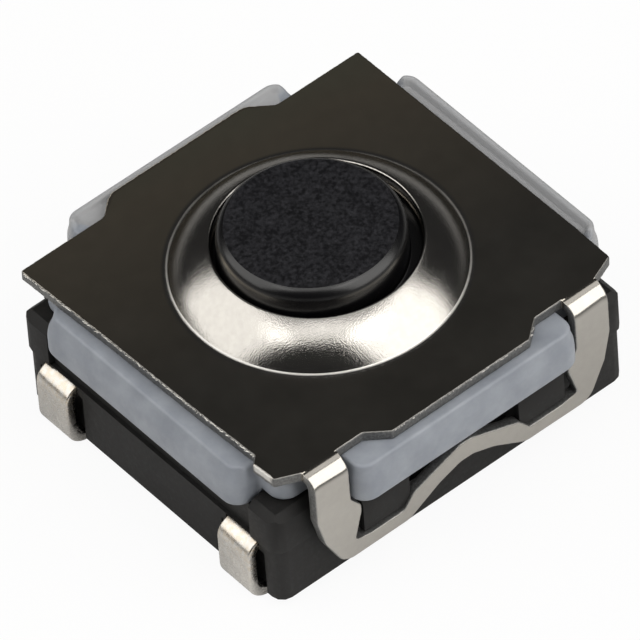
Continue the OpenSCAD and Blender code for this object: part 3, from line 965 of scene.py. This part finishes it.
@dataclass
class Seal:
    """Silicone seal: frame with a swollen side on each face, and a diaphragm with its boss and nub.

    The rubber is squeezed out between the base and the plate. On the left and front it stays under the
    plate's edge, and on the right and back it has come up beside it. Sizes are in millimetres.
    """

    left: float = 3.36
    front: float = 3.27
    bulge_x_half: float = 2.13
    bulge_y_half: float = 2.02
    corner: float = 0.28
    notch: float = 0.05
    corner_x: float = 2.93
    corner_y: float = 2.63
    ridge_r: float = 0.05
    waist: float = 0.014
    edge_low: float = 0.09
    up_right: float = 0.13
    up_back: float = 0.08
    post_z: float = 1.93
    diaphragm: float = 0.16
    ring_r: float = 1.86
    boss_r: float = 1.0
    nub_r: float = 0.45
    nub_low: float = 1.59
    press: float = 0.35
    pitch: float = 0.025
    low: float = 1.73
    top: float = 2.43
    boss_top: float = 2.52

    def build(self) -> list[bpy.types.Object]:
        """Makes the frame and the diaphragm.

        Returns:
            The two objects.
        """
        ring = piece("seal_ring", [self.skin()], SEAL_RUBBER, HOUSING, ["seal"])
        middle = piece("seal_diaphragm", [self.middle()], SEAL_RUBBER, HOUSING)
        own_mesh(middle)
        return [ring, middle]

    def outline(self) -> np.ndarray:
        """Outline from above: four swollen sides with the corners set back, anticlockwise."""
        right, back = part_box("seal")[1].x / MM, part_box("seal")[1].y / MM
        left, front, bx, by = self.left, self.front, self.bulge_x_half, self.bulge_y_half
        cx, cy, r, q = self.corner_x, self.corner_y, self.corner, self.notch
        return even(fillet([
            (right, -bx, r), (right, bx, r), (cx, bx, q), (cx, cy, r), (by, cy, q),
            (by, back, r), (-by, back, r), (-by, cy, q), (-cx, cy, r), (-cx, bx, q),
            (-left, bx, r), (-left, -bx, r), (-cx, -bx, q), (-cx, -cy, r), (-by, -cy, q),
            (-by, -front, r), (by, -front, r), (by, -cy, q), (cx, -cy, r), (cx, -bx, q)]).reshape(-1, 2),
            self.pitch)

    def skin(self) -> Patch:
        """The frame of the seal as one closed skin.

        Formula: from the ring's inner wall in shares of the way to the outline over the top, round a
        ridge, down a wall that swells out on a parabola, round its lower edge and back underneath. The
        underside steps up to the posts' height in the four corners.

        Returns:
            The patch, closed both ways.
        """
        loop = self.outline()
        normal, ray = outward(loop), unit(loop)
        size = len(loop)
        x, y = loop.T
        clear = np.minimum(np.abs(x) - self.bulge_y_half, np.abs(y) - self.bulge_x_half)
        floor = self.low + (self.post_z - self.low) * ramp(clear, 0, 0.05)
        right, back = ramp(x, 3.16, 0.16), ramp(y, 3.02, 0.16)
        up = self.up_right * right + self.up_back * back * (1 - right)
        inset = 0.05 + 0.055 * ramp(-x, 3.1, 0.1)
        crest, r = self.top + up, self.ridge_r
        skin = Skin(size)

        def inside(distance: object) -> np.ndarray:
            """Outline moved in by a distance."""
            return loop - normal * np.broadcast_to(distance, (size,))[:, None]

        skin.add(ray * self.ring_r, self.low + 0.04)
        skin.add(ray * self.ring_r, self.top - 0.04)
        skin.add(ray * (self.ring_r + 0.04), self.top)
        skin.span(ray * (self.ring_r + 0.08), inside(inset + 0.145), (0, 0.4, 0.75, 1), self.top)
        for distance, share in ((0.125, 0.15), (0.10, 0.6), (0.075, 0.92)):
            skin.add(inside(inset + distance), self.top + up * share)
        for deg in (90, 72, 54, 36, 18):
            a = math.radians(deg)
            skin.add(inside(inset + r - r * math.cos(a)), crest - r + r * math.sin(a))
        wall_low = floor + self.edge_low
        for share in np.linspace(0, 1, 10)[1:]:
            waist = self.waist * math.sin(math.pi * min(1, share * 3)) ** 2
            swell = inset * (1 - min(1, share * 1.5)) ** 2
            skin.add(inside(swell + waist), crest - r + (wall_low - crest + r) * share)
        for deg in np.linspace(0, 90, 7)[1:]:
            a = math.radians(deg)
            skin.add(inside(self.edge_low * (1 - math.cos(a))), floor + self.edge_low * (1 - math.sin(a)))
        end, rim = ray * (self.ring_r + 0.03), inside(self.edge_low + 0.02)
        for share, z in ((1, floor), (0.3, floor), (0.15, self.low), (0, self.low)):
            skin.add(end + (rim - end) * share, z)
        patch = skin.patch()
        # Painted glow: the right and back sides are marked for the rubber's paler tone.
        patch.worked = np.clip(right + back, 0, 1)
        return patch

    def middle(self) -> Patch:
        """Diaphragm, boss and nub: a half section revolved round the middle, with a pole above and below."""
        skin_top, boss_low, rim = self.low + self.diaphragm, self.boss_top - 2 * self.diaphragm, self.ring_r + 0.05
        profile = np.array([
            (0, self.boss_top), (0.5, self.boss_top), (self.boss_r - 0.04, self.boss_top),
            (self.boss_r, self.boss_top - 0.03), (self.boss_r + 0.08, boss_low + self.diaphragm),
            (self.ring_r - 0.06, skin_top + 0.01), (rim, skin_top), (rim, self.low + 0.005),
            (self.ring_r, self.low + 0.005), (self.boss_r, boss_low), (self.nub_r, boss_low),
            (self.nub_r, self.nub_low + 0.08), (self.nub_r - 0.08, self.nub_low), (0, self.nub_low)])
        return Patch(revolve(profile, 128), False, True)


@dataclass
class ContactStrip:
    """Contact strip of one side: a rail through the base with a J lead at each end, and its pads."""

    side: Side
    pitch: float = 3.96
    width: float = 0.68
    thick: float = 0.15
    top: float = 1.18
    r_up: float = 0.3
    r_low: float = 0.35
    foot: float = 0.17
    corner: float = 0.03
    tongue_half: float = 0.28
    tongue_end: float = -0.1
    disc_r: float = 0.5
    pad_at: float = 1.315
    pad_r: float = 0.36

    def build(self) -> bpy.types.Object:
        """Makes the strip with both leads and its pads.

        Returns:
            The object.
        """
        node = "contact_centre" if self.side is Side.FRONT else "contact_outer"
        pads = self.tongue() if self.side is Side.FRONT else self.side_pads()
        return piece(node + "_strip", [self.strip(), *pads], PLATED, HOUSING, [node])

    def path(self) -> tuple[np.ndarray, np.ndarray]:
        """Middle line of the strip in X and Z from foot to foot, and the normal to its outer face.

        Formula: a level foot, a quarter turn, an upright, a quarter turn and the rail, mirrored. The
        tangent turned by a right angle gives the normal.

        Returns:
            Two arrays of points.
        """
        half = self.thick / 2
        lead_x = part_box("contact_centre")[1].x / MM
        tip = lead_x - self.r_low - self.foot
        right = np.vstack([
            [[0, self.top - half], [lead_x - self.r_up - 0.02, self.top - half]],
            arc(lead_x - self.r_up, self.top - self.r_up, self.r_up - half, 90, 0, 20),
            arc(lead_x - self.r_low, self.r_low, self.r_low - half, 0, -90, 20),
            [[tip + 0.04, half], [tip, half]]])
        line = np.vstack([right[:0:-1], right * (-1, 1)])
        back, ahead = np.vstack([line[:1], line[:-1]]), np.vstack([line[1:], line[-1:]])
        tangent = unit(unit(line - back) + unit(ahead - line))
        return line, np.stack([tangent[:, 1], -tangent[:, 0]], -1)

    def strip(self) -> Patch:
        """Rounded strip section carried along the path, with small arcs at its four corners."""
        line, normal = self.path()
        w, t, c = self.width / 2, self.thick / 2, self.corner
        a, b = fillet([(-w, -t, c * 0.6), (w, -t, c * 0.6), (w, t, c), (-w, t, c)], steps=4).reshape(-1, 2).T
        x = line[:, None, 0] + normal[:, None, 0] * b
        z = line[:, None, 1] + normal[:, None, 1] * b
        y = np.broadcast_to(self.side.value * self.pitch / 2 + a, x.shape)
        grid = with_ends(np.stack([x, y, z], -1))
        upper, outer = ramp(grid[..., 2], 0.75, 0.25), ramp(np.abs(grid[..., 0]), 3.0, 0.1)
        return Patch(grid, False, True, ramp(np.abs(a), w - 0.05, 0.04) * upper * outer)

    def plate(self, loop: np.ndarray) -> Patch:
        """Flat pad of the strip's thickness with the given outline."""
        z = np.array([self.top, self.top, self.top - self.thick, self.top - self.thick])
        centre = loop.mean(0)
        xy = centre + (loop - centre) * np.array([0, 1, 1, 0])[:, None, None]
        return Patch(np.concatenate([xy, np.broadcast_to(z[:, None, None], (*xy.shape[:2], 1))], -1), False, True)

    def tongue(self) -> list[Patch]:
        """Tongue and pad under the middle of the dome."""
        x, rail, end, r = self.tongue_half, -self.pitch / 2, self.tongue_end, 0.02
        loop = fillet([(-x, rail, r), (x, rail, r), (x, end, r), (-x, end, r)], steps=3).reshape(-1, 2)
        return [self.plate(loop), self.plate(arc(0, 0, self.disc_r, 0, 360, 48)[:-1])]

    def side_pads(self) -> list[Patch]:
        """Pads under two of the dome's feet."""
        foot, r, rail = self.pad_at, self.pad_r, self.pitch / 2
        loop = np.vstack([arc(foot, foot - 0.05, r, 180, 360, 24), [[foot + r, rail], [foot - r, rail]]])
        return [self.plate(loop), self.plate((loop * (-1, 1))[::-1])]


@dataclass
class Base:
    """Moulded base: a welded copy of its solid, with its edges rounded as a mould leaves them."""

    edge: float = 0.018

    def build(self) -> bpy.types.Object:
        """Copies the solid's mesh, merges it and bevels its sharp edges.

        Returns:
            The object.
        """
        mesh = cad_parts["base"].data.copy()
        mesh.name = "base_moulding"
        bm = bmesh.new()
        bm.from_mesh(mesh)
        bmesh.ops.remove_doubles(bm, verts=bm.verts, dist=1e-7)
        bmesh.ops.dissolve_limit(bm, angle_limit=math.radians(1), verts=bm.verts, edges=bm.edges)
        bm.to_mesh(mesh)
        bm.free()
        mesh.polygons.foreach_set("use_smooth", np.ones(len(mesh.polygons), bool))
        obj = linked("base_moulding", mesh)
        bevel = obj.modifiers.new("mould_edges", "BEVEL")
        bevel.width = self.edge * MM
        bevel.segments = 3
        bevel.limit_method = "ANGLE"
        bevel.angle_limit = math.radians(40)
        bevel.harden_normals = True
        return settle(obj, BASE_PLASTIC, HOUSING, ["base"])


def direction(azimuth: float, elevation: float) -> np.ndarray:
    """Unit vector towards an azimuth and elevation in degrees."""
    a, e = math.radians(azimuth), math.radians(elevation)
    return np.array([math.sin(a) * math.cos(e), -math.cos(a) * math.cos(e), math.sin(e)])


def facing(azimuth: float, back: np.ndarray, roll: float = 0) -> tuple[np.ndarray, np.ndarray]:
    """Right and up of a camera or lamp that looks against back, turned by a roll in degrees."""
    a, turn = math.radians(azimuth), math.radians(roll)
    level = np.array([math.cos(a), math.sin(a), 0])
    lift = np.cross(back, level)
    return math.cos(turn) * level + math.sin(turn) * lift, -math.sin(turn) * level + math.cos(turn) * lift


def turned(right: np.ndarray, up: np.ndarray, back: np.ndarray, place: np.ndarray) -> Matrix:
    """Matrix of a camera or lamp from its three axes and its place."""
    rows = np.vstack([np.stack([right, up, back, place], 1), [0, 0, 0, 1]])
    return Matrix(rows.tolist())


@dataclass(frozen=True)
class SoftBox:
    """Soft box that faces the switch.

    Attributes:
        name: Name of the lamp.
        azimuth, elevation: Where it stands, in degrees.
        distance: How far away, in metres.
        width, height: Size of its face in metres.
        radiance: Brightness of its face, where 1 is white.
        colour: Tint.
    """

    name: str
    azimuth: float
    elevation: float
    distance: float
    width: float
    height: float
    radiance: float
    colour: Colour

    def build(self) -> bpy.types.Object:
        """Makes the lamp, unseen by the camera.

        Returns:
            The lamp.
        """
        data = bpy.data.lights.new(self.name, "AREA")
        data.shape = "RECTANGLE"
        data.size, data.size_y = self.width, self.height
        data.energy = self.radiance * math.pi * self.width * self.height
        data.color = self.colour
        obj = linked(self.name, data)
        back = direction(self.azimuth, self.elevation)
        obj.matrix_world = turned(*facing(self.azimuth, back), back, back * self.distance)
        obj.visible_camera = False
        return obj


WARM, PALE = (1, 0.985, 0.96), (1, 0.99, 0.98)
SOFT_BOXES = (SoftBox("soft_box_right", 28, 33, 0.45, 0.50, 0.56, 2.45, WARM),
              SoftBox("soft_box_left", -122, 38, 0.45, 0.52, 0.52, 1.85, WARM),
              SoftBox("soft_box_front", -37, 67, 0.45, 0.50, 0.17, 1.4, WARM),
              SoftBox("soft_box_top", 0, 89, 0.5, 0.34, 0.34, 0.7, PALE),
              SoftBox("soft_box_far", 92, 60, 0.45, 0.20, 0.20, 0.9, PALE))


@dataclass
class Studio:
    """Floor, lamps, surroundings and camera.

    Directions are an azimuth round the switch, 0 in front of its front face and 90 on its right, and
    an elevation over the floor. The camera's numbers were fitted to the photograph.
    """

    azimuth: float = -36.8588
    elevation: float = 47.2513
    roll: float = -4.6120
    distance: float = 0.1951057
    focal_px: float = 13929.2844
    image_px: float = 640
    sensor: float = 36
    aim_z: float = 0.0016
    aim_right: float = -0.0000353
    aim_up: float = -0.0000641
    floor_r: float = 3.0
    glow: float = 0.93
    paint: Colour = (0.82, 0.82, 0.82)
    table: Colour = (0.26, 0.26, 0.26)
    card_mm: tuple[float, float] = (7, 16)
    around: Colour = (0.034, 0.034, 0.034)

    def camera(self) -> bpy.types.Object:
        """Camera with the photograph's place, turn and lens."""
        back = direction(self.azimuth, self.elevation)
        right, up = facing(self.azimuth, back, self.roll)
        place = np.array([0, 0, self.aim_z]) + back * self.distance + right * self.aim_right + up * self.aim_up
        data = bpy.data.cameras.new("camera")
        data.sensor_width = self.sensor
        data.lens = self.focal_px * data.sensor_width / self.image_px
        data.clip_start, data.clip_end = 0.01, 100
        obj = linked("camera", data)
        obj.matrix_world = turned(right, up, back, place)
        bpy.context.scene.camera = obj
        return obj

    def floor(self) -> bpy.types.Object:
        """White card on a dark table. Seen straight it is all white, and it keeps the switch's shadow."""
        radii = np.array([0, 0.01, 0.05, 0.2, 0.8, self.floor_r])
        grid = revolve(np.stack([radii, np.zeros(6)], -1), 64)
        mesh = bpy.data.meshes.new("floor")
        quads = Patch(grid, False, True).quads(0)[:, ::-1]
        mesh.from_pydata(grid.reshape(-1, 3).tolist(), [], quads.tolist())
        n = Nodes("floor_white")
        path = n.add("LightPath")
        seen = n.larger(path.outputs["Is Camera Ray"], path.outputs["Is Transmission Ray"])
        glow = n.add("Emission", Color=shade((1, 1, 1)), Strength=1.0).outputs[0]
        shown = n.choose(self.glow, n.add("BsdfDiffuse", Color=shade(self.paint)).outputs[0], glow)
        reach = n.add("VectorMath", {"operation": "LENGTH"}, Vector=n.coords()).outputs["Value"]
        card = n.mix(n.spread(reach, *self.card_mm), shade(self.paint), shade(self.table))
        above = n.choose(seen, n.add("BsdfDiffuse", Color=card).outputs[0], shown)
        under = n.add("NewGeometry").outputs["Backfacing"]
        mesh.materials.append(n.finish(n.choose(under, above, n.add("BsdfTransparent").outputs[0])))
        weld(mesh)
        obj = linked("floor", mesh)
        return obj

    def surroundings(self) -> None:
        """Dim even room light."""
        world = bpy.data.worlds.new("room")
        world.use_nodes = True
        light = world.node_tree.nodes["Background"].inputs
        light["Color"].default_value, light["Strength"].default_value = shade(self.around), 1.0
        bpy.context.scene.world = world

    def build(self) -> None:
        """Sets the camera, the floor, the surroundings, the lamps and the view transform."""
        self.camera()
        self.floor()
        self.surroundings()
        for box in SOFT_BOXES:
            box.build()
        bpy.context.scene.view_settings.view_transform = "Standard"


def main() -> None:
    """Builds the pieces in order."""
    logging.basicConfig(level=logging.INFO, format="%(name)s: %(message)s")
    Studio().build()
    made = [*Cover().build(), PushButton().build(), *Seal().build()]
    made += [ContactStrip(side).build() for side in Side]
    made.append(Base().build())
    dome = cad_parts["snap_dome"]
    dome.data.materials.clear()
    dome.data.materials.append(DOME_STEEL.material())


if __name__ == "__main__":
    main()
